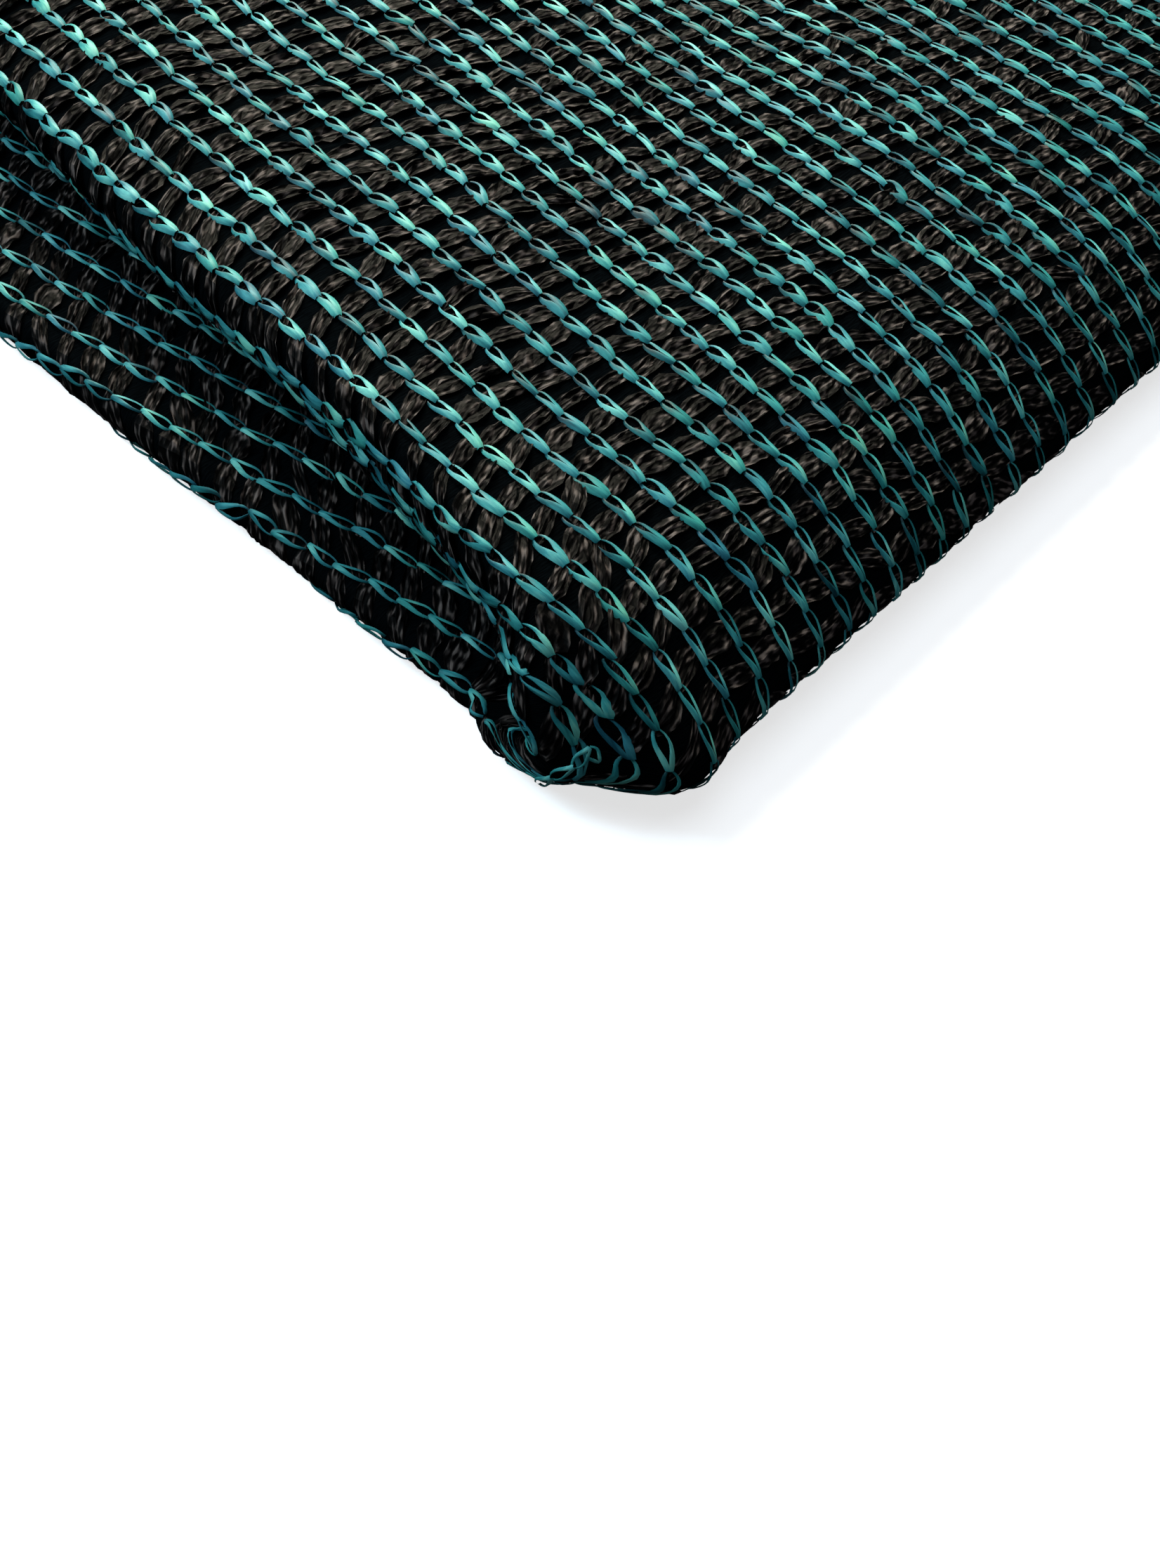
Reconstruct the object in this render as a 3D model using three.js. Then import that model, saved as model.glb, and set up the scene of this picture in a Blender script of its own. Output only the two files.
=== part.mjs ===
import * as THREE from "three";

// A cut length of knitted shade netting, lying folded on a flat surface. It is folded once along its rows,
// so that two layers make a strip with a rolled edge, and then once across the rows, so that the strip
// turns over its own end and comes back under itself. Four layers of one sheet lie on each other.
// Millimetres, +Z up. The rows of the top layer run along Y and the nose of the second fold faces -Y.

const SHEET = 1.0;
const NOSE_TURN = THREE.MathUtils.degToRad(9);
const WIDTH = { outer: 172, inner: 166 };
const STRIP = { upper: 158, lower: 150 };

// Section of the strip across the nose. back is the distance behind the nose, high the height of the
// middle of the sheet above the surface. Each runs from the top of the pack round the nose to the bottom.
const OUTER_SECTION = [
  { back: 175, high: 14.4 },
  { back: 60, high: 14.4 },
  { back: 36, high: 14.25 },
  { back: 24, high: 13.8 },
  { back: 17, high: 13.1 },
  { back: 10.6, high: 11.7 },
  { back: 5.1, high: 9.1 },
  { back: 2.2, high: 7.3 },
  { back: 0.5, high: 5.7 },
  { back: 0, high: 5.0, nose: true },
  { back: 0.5, high: 3.7 },
  { back: 1.6, high: 2.7 },
  { back: 3.6, high: 1.9 },
  { back: 7, high: 1.25 },
  { back: 12, high: 0.75 },
  { back: 20, high: 0.5 },
  { back: 60, high: 0.5 },
  { back: 175, high: 0.5 },
];
const INNER_SECTION = [
  { back: 175, high: 10.4 },
  { back: 60, high: 10.4 },
  { back: 36, high: 10.3 },
  { back: 24, high: 9.9 },
  { back: 17, high: 9.2 },
  { back: 11, high: 8.1 },
  { back: 7.6, high: 7.0 },
  { back: 5.9, high: 6.1 },
  { back: 5.2, high: 5.2, nose: true },
  { back: 5.8, high: 4.4 },
  { back: 7.4, high: 3.9 },
  { back: 11, high: 3.4 },
  { back: 17, high: 3.1 },
  { back: 24, high: 3.1 },
  { back: 36, high: 3.3 },
  { back: 60, high: 4.0 },
  { back: 175, high: 4.2 },
];

// Rolled edge of the upper strip, from the nose back. crown is where its outermost line lies across,
// sink and puff lower and raise both layers at the edge, deep drops the second layer further there,
// and lean draws the foot of the roll in under its top.
const UPPER_EDGE = [
  { back: 0, crown: -1.4, sink: 0, puff: 0, deep: 0, lean: 0 },
  { back: 6, crown: -1.1, sink: 0, puff: 0.3, deep: 1.3, lean: 0.8 },
  { back: 16, crown: 1.4, sink: 0, puff: 1.0, deep: 4.2, lean: 2.4 },
  { back: 26, crown: 4.2, sink: 0, puff: 1.0, deep: 4.6, lean: 2.4 },
  { back: 36, crown: 6.7, sink: 0, puff: 0.9, deep: 3.8, lean: 1.8 },
  { back: 46, crown: 9.1, sink: 0.2, puff: 0.7, deep: 2.6, lean: 1.0 },
  { back: 56, crown: 10.9, sink: 0.5, puff: 0.4, deep: 1.7, lean: 0.5 },
  { back: 74, crown: 14.3, sink: 1.9, puff: 0, deep: 0.6, lean: 0 },
  { back: 97, crown: 19.0, sink: 2.9, puff: 0, deep: 0.2, lean: 0 },
  { back: 175, crown: 32, sink: 3.0, puff: 0, deep: 0, lean: 0 },
];

// Rolled edge of the lower strip, which lies turned away from the upper one.
const LOWER_EDGE = [
  { back: 0, crown: -1.4 },
  { back: 10, crown: -1.0 },
  { back: 18, crown: 0.3 },
  { back: 28, crown: 1.6 },
  { back: 48, crown: 2.0 },
  { back: 71, crown: 2.9 },
  { back: 100, crown: 5.3 },
  { back: 175, crown: 11 },
];

// Low swells in the upper strip: height, then how far apart their crests lie across and along.
const SWELLS = [
  { tall: 0.3, across: 46, along: 118, start: 0.4 },
  { tall: 0.22, across: -83, along: 41, start: 1.9 },
  { tall: 0.14, across: 27, along: -64, start: 3.3 },
];
const SWELL_RISE = { from: 12, to: 46 };

// Over which stretch of the strip each of these passes from the lower strip's value to the upper one's.
const TURNS = {
  crown: { from: -9, to: 7 },
  bulge: { from: -14, to: 16 },
  lean: { from: 2, to: 21 },
  deep: { from: 2, to: 21 },
  sink: { from: 4, to: 30 },
  puff: { from: 0, to: 8 },
};
const BULGE = { upper: 2.4, lower: 1.35 };
const SINK_FADE = 9;
const DEEP_FADE = { flat: 4, fade: 7 };
const PUFF_BAND = { centre: 4, width: 9 };
// The nose is drawn back at its corner, on the side of the rolled edge.
const CORNER = { across: 3.9, soft: 0.9, slope: 1.3, most: 8, fade: 20 };
const NEAR_NOSE = 26;
const CURVE_STEPS = 40;

// Grid of the sheet: reach past the roll, steps round the roll, and steps along the strip.
const REACHES = [0, 2.5, 5.5, 9.5, 15, 23, 34, 50, 70, 92, 114, 136, 154];
const ROLL_STEPS = 10;
const ALONG_STEPS = [
  { from: -STRIP.lower, to: -44, count: 8 },
  { from: -44, to: -20, count: 6 },
  { from: -20, to: -8, count: 6 },
  { from: -8, to: 8, count: 16 },
  { from: 8, to: 24, count: 8 },
  { from: 24, to: 64, count: 8 },
  { from: 64, to: STRIP.upper, count: 8 },
];

const ACROSS = new THREE.Vector3(Math.cos(NOSE_TURN), Math.sin(NOSE_TURN), 0);
const BACK = new THREE.Vector3(-Math.sin(NOSE_TURN), Math.cos(NOSE_TURN), 0);
const UP = new THREE.Vector3(0, 0, 1);

function blend(value, { from, to }) {
  return THREE.MathUtils.smoothstep(value, from, to);
}

// Smooth curve through a table's rows: the value of one column at a distance behind the nose.
function along(table, column, back) {
  const last = table.length - 1;
  const at = THREE.MathUtils.clamp(back, table[0].back, table[last].back);
  let i = 0;
  while (i < last - 1 && table[i + 1].back < at) i += 1;
  const slope = (k) => {
    const a = table[Math.max(k - 1, 0)];
    const b = table[Math.min(k + 1, last)];
    return (b[column] - a[column]) / (b.back - a.back);
  };
  const step = table[i + 1].back - table[i].back;
  const u = (at - table[i].back) / step;
  const v = 1 - u;
  const ends = table[i][column] * v * v * (1 + 2 * u) + table[i + 1][column] * u * u * (3 - 2 * u);
  return ends + step * u * v * (slope(i) * v - slope(i + 1) * u);
}

// A section as points with their distance from the nose along the curve: above it positive, below negative.
function measured(section) {
  const knots = section.map((row) => new THREE.Vector3(row.back, row.high, 0));
  const noseKnot = section.findIndex((row) => row.nose);
  const curve = new THREE.CatmullRomCurve3(knots, false, "centripetal");
  const points = curve.getPoints(CURVE_STEPS * (knots.length - 1));
  const walked = [0];
  for (let i = 1; i < points.length; i += 1) {
    walked.push(walked[i - 1] + points[i].distanceTo(points[i - 1]));
  }
  const noseAt = walked[noseKnot * CURVE_STEPS];
  return points
    .map((p, i) => ({ run: noseAt - walked[i], back: p.x, high: Math.max(p.y, SHEET / 2) }))
    .reverse();
}

function linear(rows, key, column, x) {
  let low = 0;
  let high = rows.length - 1;
  const rising = rows[high][key] > rows[0][key];
  while (high - low > 1) {
    const middle = (low + high) >> 1;
    if (rows[middle][key] <= x === rising) low = middle;
    else high = middle;
  }
  const span = rows[high][key] - rows[low][key];
  const u = span === 0 ? 0 : THREE.MathUtils.clamp((x - rows[low][key]) / span, 0, 1);
  return rows[low][column] * (1 - u) + rows[high][column] * u;
}

const outer = measured(OUTER_SECTION);
const inner = measured(INNER_SECTION);
const innerSide = {
  upper: inner.filter((row) => row.run >= 0),
  lower: inner.filter((row) => row.run <= 0),
};

function outerSection(run) {
  return { back: linear(outer, "run", "back", run), high: linear(outer, "run", "high", run) };
}

// The inner layer's curve is shorter round the nose, so its points are matched to the outer ones.
function innerSection(run) {
  const side = run >= 0 ? "upper" : "lower";
  const edge = side === "upper" ? NEAR_NOSE : -NEAR_NOSE;
  const rows = innerSide[side];
  const matched = (outerRun) => linear(rows, "back", "run", outerSection(outerRun).back);
  const innerRun = Math.abs(run) <= NEAR_NOSE ? (run / edge) * matched(edge) : matched(run);
  return { back: linear(inner, "run", "back", innerRun), high: linear(inner, "run", "high", innerRun) };
}

function crown(run) {
  const { back } = outerSection(run);
  const upper = blend(run, TURNS.crown);
  return along(LOWER_EDGE, "crown", back) * (1 - upper) + along(UPPER_EDGE, "crown", back) * upper;
}

function rollStart(run) {
  const upper = blend(run, TURNS.bulge);
  return crown(run) + BULGE.lower * (1 - upper) + BULGE.upper * upper;
}

function edgeValue(column, run) {
  return along(UPPER_EDGE, column, outerSection(run).back);
}

function lean(run) {
  return edgeValue("lean", run) * blend(run, TURNS.lean);
}

function cornerSetback(across, run) {
  const past = (CORNER.across - across) / CORNER.soft;
  const set = CORNER.slope * CORNER.soft * Math.log1p(Math.exp(Math.min(past, 30)));
  return CORNER.most * Math.tanh(set / CORNER.most) * Math.exp(-((run / CORNER.fade) ** 2));
}

function swell(across, back, run) {
  const turn = 2 * Math.PI;
  const wave = (w) => w.tall * Math.sin(turn * (across / w.across + back / w.along) + w.start);
  const height = SWELLS.reduce((sum, w) => sum + wave(w), 0);
  return height * blend(run, SWELL_RISE);
}

// What the rolled edge and the swells add to both layers of the upper strip.
function lift(across, run) {
  const inside = across - crown(run);
  const sunk = Math.exp(-Math.max(inside, 0) / SINK_FADE) * blend(run, TURNS.sink);
  const puffed = Math.exp(-(((inside - PUFF_BAND.centre) / PUFF_BAND.width) ** 2)) * blend(run, TURNS.puff);
  const edge = edgeValue("puff", run) * puffed - edgeValue("sink", run) * sunk;
  return edge + swell(across, outerSection(run).back, run);
}

function deepening(across, run) {
  const inside = Math.max(across - crown(run) - DEEP_FADE.flat, 0);
  return edgeValue("deep", run) * Math.exp(-inside / DEEP_FADE.fade) * blend(run, TURNS.deep);
}

function placed(across, back, high) {
  return new THREE.Vector3()
    .addScaledVector(ACROSS, across)
    .addScaledVector(BACK, back)
    .addScaledVector(UP, high);
}

function outerPoint(across, run) {
  const { back, high } = outerSection(run);
  return placed(across, back + cornerSetback(across, run), high + lift(across, run));
}

function innerPoint(across, run) {
  const { back, high } = innerSection(run);
  const set = cornerSetback(across - lean(run), run);
  return placed(across, back + set, high + lift(across, run) - deepening(across, run));
}

// Middle of the sheet at a station: the outer layer, the roll or the inner layer.
function sheetPoint(station, run) {
  const start = rollStart(run);
  if (station.layer === "outer") return outerPoint(start + station.reach, run);
  const foot = start + lean(run);
  if (station.layer === "inner") return innerPoint(foot + station.reach, run);
  const head = outerPoint(start, run);
  const tail = innerPoint(foot, run);
  const middle = head.clone().add(tail).multiplyScalar(0.5);
  const half = head.clone().sub(tail).multiplyScalar(0.5);
  return middle
    .addScaledVector(half, Math.cos(station.turn))
    .addScaledVector(ACROSS, (crown(run) - start) * Math.sin(station.turn));
}

function stations() {
  const list = [];
  list.push({ layer: "inner", reach: WIDTH.inner });
  [...REACHES].reverse().forEach((reach) => list.push({ layer: "inner", reach }));
  for (let i = ROLL_STEPS - 1; i > 0; i -= 1) {
    list.push({ layer: "roll", turn: (Math.PI * i) / ROLL_STEPS });
  }
  REACHES.forEach((reach) => list.push({ layer: "outer", reach }));
  list.push({ layer: "outer", reach: WIDTH.outer });
  return list;
}

function runs() {
  const list = [-STRIP.lower];
  ALONG_STEPS.forEach(({ from, to, count }) => {
    for (let i = 1; i <= count; i += 1) list.push(from + ((to - from) * i) / count);
  });
  return list;
}

// Normals of a grid of points, from the neighbours on both sides.
function gridNormals(grid) {
  const pick = (i, j) => {
    const row = grid[THREE.MathUtils.clamp(i, 0, grid.length - 1)];
    return row[THREE.MathUtils.clamp(j, 0, row.length - 1)];
  };
  return grid.map((row, i) =>
    row.map((_, j) => {
      const acrossStep = pick(i + 1, j).clone().sub(pick(i - 1, j)).normalize();
      const alongStep = pick(i, j + 1).clone().sub(pick(i, j - 1)).normalize();
      return acrossStep.cross(alongStep).normalize();
    }),
  );
}

// A closed sheet of even thickness round a grid of middle points.
function thickSheet(grid, thickness) {
  const rows = grid.length;
  const columns = grid[0].length;
  const normals = gridNormals(grid);
  const positions = [];
  const index = [];
  [0.5, -0.5].forEach((side) => {
    grid.forEach((row, i) =>
      row.forEach((point, j) => {
        const moved = point.clone().addScaledVector(normals[i][j], side * thickness);
        positions.push(moved.x, moved.y, moved.z);
      }),
    );
  });
  const outside = (i, j) => i * columns + j;
  const inside = (i, j) => rows * columns + i * columns + j;
  const quad = (a, b, c, d) => index.push(a, b, c, a, c, d);
  for (let i = 0; i < rows - 1; i += 1) {
    for (let j = 0; j < columns - 1; j += 1) {
      quad(outside(i, j), outside(i + 1, j), outside(i + 1, j + 1), outside(i, j + 1));
      quad(inside(i, j), inside(i, j + 1), inside(i + 1, j + 1), inside(i + 1, j));
    }
  }
  for (let i = 0; i < rows - 1; i += 1) {
    quad(inside(i, 0), inside(i + 1, 0), outside(i + 1, 0), outside(i, 0));
    const j = columns - 1;
    quad(outside(i, j), outside(i + 1, j), inside(i + 1, j), inside(i, j));
  }
  for (let j = 0; j < columns - 1; j += 1) {
    quad(outside(0, j), outside(0, j + 1), inside(0, j + 1), inside(0, j));
    const i = rows - 1;
    quad(inside(i, j), inside(i, j + 1), outside(i, j + 1), outside(i, j));
  }
  const geometry = new THREE.BufferGeometry();
  geometry.setAttribute("position", new THREE.Float32BufferAttribute(positions, 3));
  geometry.setIndex(index);
  return geometry;
}

const runList = runs();
const grid = stations().map((station) => runList.map((run) => sheetPoint(station, run)));
const geometry = thickSheet(grid, SHEET);

// The origin is the middle of the pack's footprint, on the surface.
geometry.computeBoundingBox();
const box = geometry.boundingBox;
geometry.translate(-(box.min.x + box.max.x) / 2, -(box.min.y + box.max.y) / 2, -box.min.z);
geometry.computeVertexNormals();

const netting = new THREE.Mesh(
  geometry,
  new THREE.MeshStandardMaterial({ color: 0x1f7f86, roughness: 0.6, metalness: 0 }),
);
netting.name = "netting";

const pack = new THREE.Group();
pack.add(netting);

export default pack;
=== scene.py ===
"""Folded shade netting: a cut length of knitted netting, folded along its rows and then across them.

The netting is a thin black ground sheet in the pack's folds, with the knit laid on it: turquoise chain
stitches in rows, and crumpled black tapes that cross from row to row. The ground sheet's near-black is
also painted shade for the holes of the knit, and the stitches and tapes carry painted light and shade
and painted glints in their colours. Sizes are in millimetres and go to metres when a mesh is made. The
sheet is measured by two lengths: run, along the strip from the nose of the second fold, above it
positive and below it negative, and reach, across the strip from the crown of the rolled edge, positive
in the outer layer and negative in the inner one.
"""

import math

import bpy
import numpy as np
from mathutils import Matrix, Vector


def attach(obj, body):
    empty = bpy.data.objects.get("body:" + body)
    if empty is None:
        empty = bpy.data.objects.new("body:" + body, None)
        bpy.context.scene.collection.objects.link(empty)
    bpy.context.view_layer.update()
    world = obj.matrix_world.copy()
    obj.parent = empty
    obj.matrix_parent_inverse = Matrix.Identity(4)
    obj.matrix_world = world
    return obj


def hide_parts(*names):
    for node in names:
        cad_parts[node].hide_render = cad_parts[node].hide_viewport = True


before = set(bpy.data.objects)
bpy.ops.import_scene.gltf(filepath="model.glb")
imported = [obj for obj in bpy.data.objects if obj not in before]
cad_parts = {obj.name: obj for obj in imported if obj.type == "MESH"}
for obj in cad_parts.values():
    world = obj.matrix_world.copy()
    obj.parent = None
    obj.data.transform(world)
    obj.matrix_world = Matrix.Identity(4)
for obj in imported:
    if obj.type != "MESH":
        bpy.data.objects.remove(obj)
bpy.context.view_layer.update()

METRE = 0.001
# Middle of the pack's footprint, measured from the nose and the crown of the rolled edge there.
FOOTPRINT_MIDDLE = np.array([80.7656, 93.0539, 0.0])

SHEET = 1.0
NOSE_TURN = math.radians(9)
WIDTH = {"outer": 172.0, "inner": 166.0}
STRIP = {"upper": 158.0, "lower": 150.0}

ROW_PITCH = 4.2
STITCH = 3.19
# The lower strip's rows lie at this slope to its crease, from just past the nose.
LOWER_ROWS = {"from": -6.0, "slope": 0.168}
# Past the crown of the upper crease the rows lie closer by this much, from one reach to another.
CROWN_ROWS = {"closer": 2.8, "between": (5.0, 8.5), "runs": (-4, 6)}

# How far the rows of the upper strip wander from straight, in pitches: a bend next to the corner, an
# even shift, a slant in the far rows and a slow swell. All of it fades out where the strip turns under.
ROW_BEND = {"most": 1.05, "rows": 11.0, "top": 1.2, "runs": (32, 4)}
ROW_SHIFT = {"by": 0.14, "rows": (1, 5)}
ROW_SLANT = {"rows": (11, 21), "start": 0.4, "per_run": 0.02, "from_run": 20.0, "last_run": 70}
ROW_SPREAD = {"past": 20.0, "per_row": 0.13, "most_rows": 8}
ROW_SWELL = {"high": 0.18, "row": 17.2, "per_run": 0.11, "wide": 3.2, "runs": (38, 58)}
# Past the crown of the rolled edge each row crowds in by this much more, next to the corner.
ROW_CROWD = {"each": 0.42, "most": 2.0, "runs": (21, 2)}
ROW_TURN = (-8, 1)

ACROSS = np.array([math.cos(NOSE_TURN), math.sin(NOSE_TURN), 0.0])
BACK = np.array([-math.sin(NOSE_TURN), math.cos(NOSE_TURN), 0.0])
UP = np.array([0.0, 0.0, 1.0])

# Section of the strip across the nose: back is the distance behind the nose, high the height of the
# middle of the sheet. The third column marks the nose.
OUTER_SECTION = [
    (175, 14.4, 0),
    (60, 14.4, 0),
    (36, 14.25, 0),
    (24, 13.8, 0),
    (17, 13.1, 0),
    (10.6, 11.7, 0),
    (5.2, 9.15, 0),
    (2.5, 7.45, 0),
    (0.9, 5.9, 0),
    (0.45, 5.1, 1),
    (0.9, 3.95, 0),
    (2.0, 2.9, 0),
    (3.9, 2.0, 0),
    (7, 1.3, 0),
    (12, 0.75, 0),
    (20, 0.5, 0),
    (60, 0.5, 0),
    (175, 0.5, 0),
]
INNER_SECTION = [
    (175, 10.4, 0),
    (60, 10.4, 0),
    (36, 10.3, 0),
    (24, 9.9, 0),
    (17, 9.2, 0),
    (11, 8.1, 0),
    (7.6, 7.0, 0),
    (5.9, 6.1, 0),
    (5.2, 5.2, 1),
    (5.8, 4.4, 0),
    (7.4, 3.9, 0),
    (11, 3.4, 0),
    (17, 3.1, 0),
    (24, 3.1, 0),
    (36, 3.3, 0),
    (60, 4.0, 0),
    (175, 4.2, 0),
]

# Rolled edge of the upper strip, from the nose back: where its outermost line lies across, what lowers
# and raises both layers there, how far the second layer drops, and how far its foot is drawn in.
UPPER_EDGE = {
    "back": [0, 6, 16, 26, 36, 46, 56, 74, 97, 175],
    "crown": [-1.4, -1.1, 1.4, 4.2, 6.7, 9.1, 10.9, 14.3, 19.0, 32],
    "sink": [0, 0, 0, 0, 0, 0.2, 0.5, 1.9, 2.9, 3.0],
    "puff": [0, 0.3, 1.0, 1.0, 0.9, 0.7, 0.4, 0, 0, 0],
    "deep": [0, 1.3, 4.2, 4.6, 3.8, 2.6, 1.7, 0.6, 0.2, 0],
    "lean": [0, 0.8, 2.4, 2.4, 1.8, 1.0, 0.5, 0, 0, 0],
}
LOWER_EDGE = {
    "back": [0, 9.5, 13, 18, 28, 48, 71, 100, 175],
    "crown": [-1.4, -0.8, 0.3, 1.2, 1.7, 2.2, 3.0, 5.3, 11],
}
# Low swells in the upper strip: height, how far apart their crests lie across and along, and start.
SWELLS = [(0.3, 46, 118, 0.4), (0.22, -83, 41, 1.9), (0.14, 27, -64, 3.3)]
SWELL_RISE = (12, 46)
TURNS = {
    "crown": (-9, 7),
    "bulge": (-14, 16),
    "lean": (2, 21),
    "deep": (2, 21),
    "sink": (4, 30),
    "puff": (0, 8),
}
BULGE = {"upper": 2.4, "lower": 1.35}
SINK_FADE = 9.0
DEEP_FADE = {"flat": 4.0, "fade": 7.0}
PUFF_BAND = {"centre": 4.0, "width": 9.0}
CORNER = {"across": 4.1, "soft": 0.8, "slope": 1.75, "most": 14.0, "fade": 20.0}
# Next to the corner the nose stands out by this much, around this line across.
BROW = {"out": 0.9, "across": 7.0, "wide": 3.6}
NEAR_NOSE = 26.0
CURVE_STEPS = 40
# The ruler of runs goes past both cut edges by this much, in steps of this much.
RULER = {"past": 12, "step": 0.2}
# Step for the sheet's slopes, and where points begin to be pressed up from the surface, how softly.
NEAR_STEP = 0.2
LOWEST = 0.16
PRESS_SOFT = 1.6


def smooth(value, span):
    """Goes softly from 0 at one end of a span to 1 at the other. A span may run downwards."""
    part = np.clip((np.asarray(value, float) - span[0]) / (span[1] - span[0]), 0, 1)
    return part * part * (3 - 2 * part)


def column(table, name, back):
    """A smooth curve through one column of a table, at distances behind the nose."""
    keys = np.array(table["back"], float)
    values = np.array(table[name], float)
    slopes = np.gradient(values)
    slopes[1:-1] = (values[2:] - values[:-2]) / (keys[2:] - keys[:-2])
    slopes[0] = (values[1] - values[0]) / (keys[1] - keys[0])
    slopes[-1] = (values[-1] - values[-2]) / (keys[-1] - keys[-2])
    at = np.clip(back, keys[0], keys[-1])
    i = np.clip(np.searchsorted(keys, at) - 1, 0, len(keys) - 2)
    step = keys[i + 1] - keys[i]
    u = (at - keys[i]) / step
    v = 1 - u
    ends = values[i] * v * v * (1 + 2 * u) + values[i + 1] * u * u * (3 - 2 * u)
    return ends + step * u * v * (slopes[i] * v - slopes[i + 1] * u)


def measured(section):
    """A section as columns of run, back and high: a centripetal curve through its points.

    The run is counted from the nose, and the lowest run comes first.
    """
    knots = np.array([row[:2] for row in section], float)
    nose = [row[2] for row in section].index(1) * CURVE_STEPS
    ends = np.vstack([2 * knots[0] - knots[1], knots, 2 * knots[-1] - knots[-2]])
    points = [knots[0]]
    u = (np.arange(1, CURVE_STEPS + 1) / CURVE_STEPS)[:, None]
    for p, q, r, w in zip(ends, ends[1:], ends[2:], ends[3:]):
        a, b, c = (math.sqrt(np.linalg.norm(g - h)) for g, h in ((q, p), (r, q), (w, r)))
        out = ((q - p) / a - (r - p) / (a + b) + (r - q) / b) * b
        into = ((r - q) / b - (w - q) / (b + c) + (w - r) / c) * b
        square = 3 * (r - q) - 2 * out - into
        cube = 2 * (q - r) + out + into
        points.extend(q + out * u + square * u**2 + cube * u**3)
    points = np.array(points)
    walked = np.concatenate([[0], np.cumsum(np.linalg.norm(np.diff(points, axis=0), axis=1))])
    points[:, 1] = np.maximum(points[:, 1], SHEET / 2)
    return np.column_stack([walked[nose] - walked, points])[::-1]


def strip_lines():
    """What the strip does at each run, as columns against a fine ruler of runs."""
    outer = measured(OUTER_SECTION)
    inner = measured(INNER_SECTION)
    run = np.arange(-STRIP["lower"] - RULER["past"], STRIP["upper"] + RULER["past"], RULER["step"])
    line = {"run": run}
    line["back"] = np.interp(run, outer[:, 0], outer[:, 1])
    line["high"] = np.interp(run, outer[:, 0], outer[:, 2])
    matched = np.zeros_like(run)
    for sign in (1, -1):
        half = inner[inner[:, 0] * sign >= 0]
        half = half[np.argsort(half[:, 1])]
        at = run * sign >= 0
        edge_back = np.interp(NEAR_NOSE * sign, outer[:, 0], outer[:, 1])
        edge_run = np.interp(edge_back, half[:, 1], half[:, 0])
        far = np.interp(line["back"], half[:, 1], half[:, 0])
        near = run / (NEAR_NOSE * sign) * edge_run
        matched = np.where(at, np.where(np.abs(run) <= NEAR_NOSE, near, far), matched)
    line["inner_back"] = np.interp(matched, inner[:, 0], inner[:, 1])
    line["inner_high"] = np.interp(matched, inner[:, 0], inner[:, 2])
    turned = smooth(run, TURNS["crown"])
    lower, upper = (column(edge, "crown", line["back"]) for edge in (LOWER_EDGE, UPPER_EDGE))
    line["crown"] = lower * (1 - turned) + upper * turned
    for name in ("sink", "puff", "deep", "lean"):
        line[name] = column(UPPER_EDGE, name, line["back"]) * smooth(run, TURNS[name])
    turned = smooth(run, TURNS["bulge"])
    line["start"] = line["crown"] + BULGE["lower"] * (1 - turned) + BULGE["upper"] * turned
    line["setback"] = np.exp(-((run / CORNER["fade"]) ** 2))
    line["swell"] = smooth(run, SWELL_RISE)
    flat_back = run + outer[-1, 1] - outer[-1, 0]
    line["crown_row"] = ACROSS[0] * line["start"] - ACROSS[1] * flat_back
    turn_at = np.interp(LOWER_ROWS["from"], run, line["crown_row"])
    below = run < LOWER_ROWS["from"]
    lower_rows = turn_at - LOWER_ROWS["slope"] * (LOWER_ROWS["from"] - run)
    line["crown_row"] = np.where(below, lower_rows, line["crown_row"])
    return line


LINE = strip_lines()


def at_run(name, run):
    """One of the strip's columns at the given runs."""
    return np.interp(run, LINE["run"], LINE[name])


def layer_point(across, run, inner):
    """Points in the middle of the outer or inner layer."""
    inside = across - at_run("crown", run)
    sunk = at_run("sink", run) * np.exp(-np.maximum(inside, 0) / SINK_FADE)
    puffed = at_run("puff", run) * np.exp(-(((inside - PUFF_BAND["centre"]) / PUFF_BAND["width"]) ** 2))
    back = at_run("back", run)
    wave = sum(
        tall * np.sin(2 * math.pi * (across / wide + back / long) + start)
        for tall, wide, long, start in SWELLS
    )
    lift = puffed - sunk + wave * at_run("swell", run)
    corner = across
    high = at_run("high", run) + lift
    if inner:
        past = np.maximum(inside - DEEP_FADE["flat"], 0)
        high = at_run("inner_high", run) + lift - at_run("deep", run) * np.exp(-past / DEEP_FADE["fade"])
        back = at_run("inner_back", run)
        corner = across - at_run("lean", run)
    set_back = np.log1p(np.exp(np.clip((CORNER["across"] - corner) / CORNER["soft"], -30, 30)))
    set_back = CORNER["most"] * np.tanh(set_back * CORNER["slope"] * CORNER["soft"] / CORNER["most"])
    brow = BROW["out"] * np.exp(-(((corner - BROW["across"]) / BROW["wide"]) ** 2))
    back = back + (set_back - brow) * at_run("setback", run)
    return across[:, None] * ACROSS + back[:, None] * BACK + high[:, None] * UP


def roll_ends(run):
    """Where the rolled edge leaves the outer and the inner layer, its bulge and half its length."""
    start = at_run("start", run)
    head = layer_point(start, run, False)
    tail = layer_point(start + at_run("lean", run), run, True)
    bulge = start - at_run("crown", run)
    half = np.linalg.norm(head - tail, axis=1) / 2
    return head, tail, bulge, math.pi / 2 * np.sqrt((half**2 + bulge**2) / 2)


ROLL_HALF = roll_ends(LINE["run"])[3]


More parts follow.
